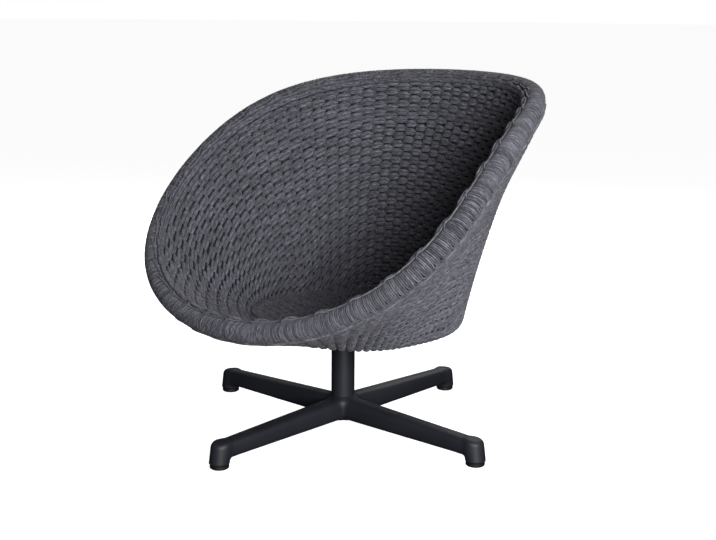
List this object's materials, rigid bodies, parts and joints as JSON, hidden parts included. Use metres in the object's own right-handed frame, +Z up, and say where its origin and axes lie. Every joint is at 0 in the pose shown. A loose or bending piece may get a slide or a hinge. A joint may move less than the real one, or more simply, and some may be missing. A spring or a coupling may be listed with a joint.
{
  "type": "swivel lounge chair",
  "caption": "Outdoor bucket lounge chair with a rope-woven shell on a swivelling column and a four-armed cast foot.",
  "frame": {"origin": "on the floor, on the column's axis", "axes": "+Z up along the column, -Y towards the front of the seat, +X to the sitter's left"},
  "size_m": [0.9854, 0.7843, 0.7787],
  "materials": {
    "base_metal": "near-black satin powder coat",
    "frame_metal": "dark satin powder coat",
    "steel": "zinc plated",
    "glide_plastic": "matt black moulded",
    "bush_plastic": "moulded acetal",
    "rope": "heathered charcoal outdoor rope"
  },
  "bodies": {
    "base": {"star_base": "base_metal", "glides": "glide_plastic", "glide_studs": "steel", "column_tube": "base_metal", "column_plug": "steel", "clamp_bolt": "steel", "clamp_washer": "steel", "lower_bush": "bush_plastic", "upper_bush": "bush_plastic", "thrust_washer": "bush_plastic"},
    "seat": {"spindle": "steel", "retaining_washer": "steel", "retaining_ring": "steel", "seat_plate": "frame_metal", "plate_bolts": "steel", "plate_washers": "steel", "bar_inserts": "steel", "cross_bars": "frame_metal", "floor_ring": "frame_metal", "stakes": "frame_metal", "rim_tube": "frame_metal", "rim_wrap": "rope", "edge_cord": "rope", "woven_wall": "rope", "woven_floor": "rope"}
  },
  "joints": [
    {"name": "swivel", "type": "hinge", "parent": "base", "child": "seat", "pos_m": [0, 0, 0.2], "axis": [0, 0, 1], "continuous": true}
  ]
}
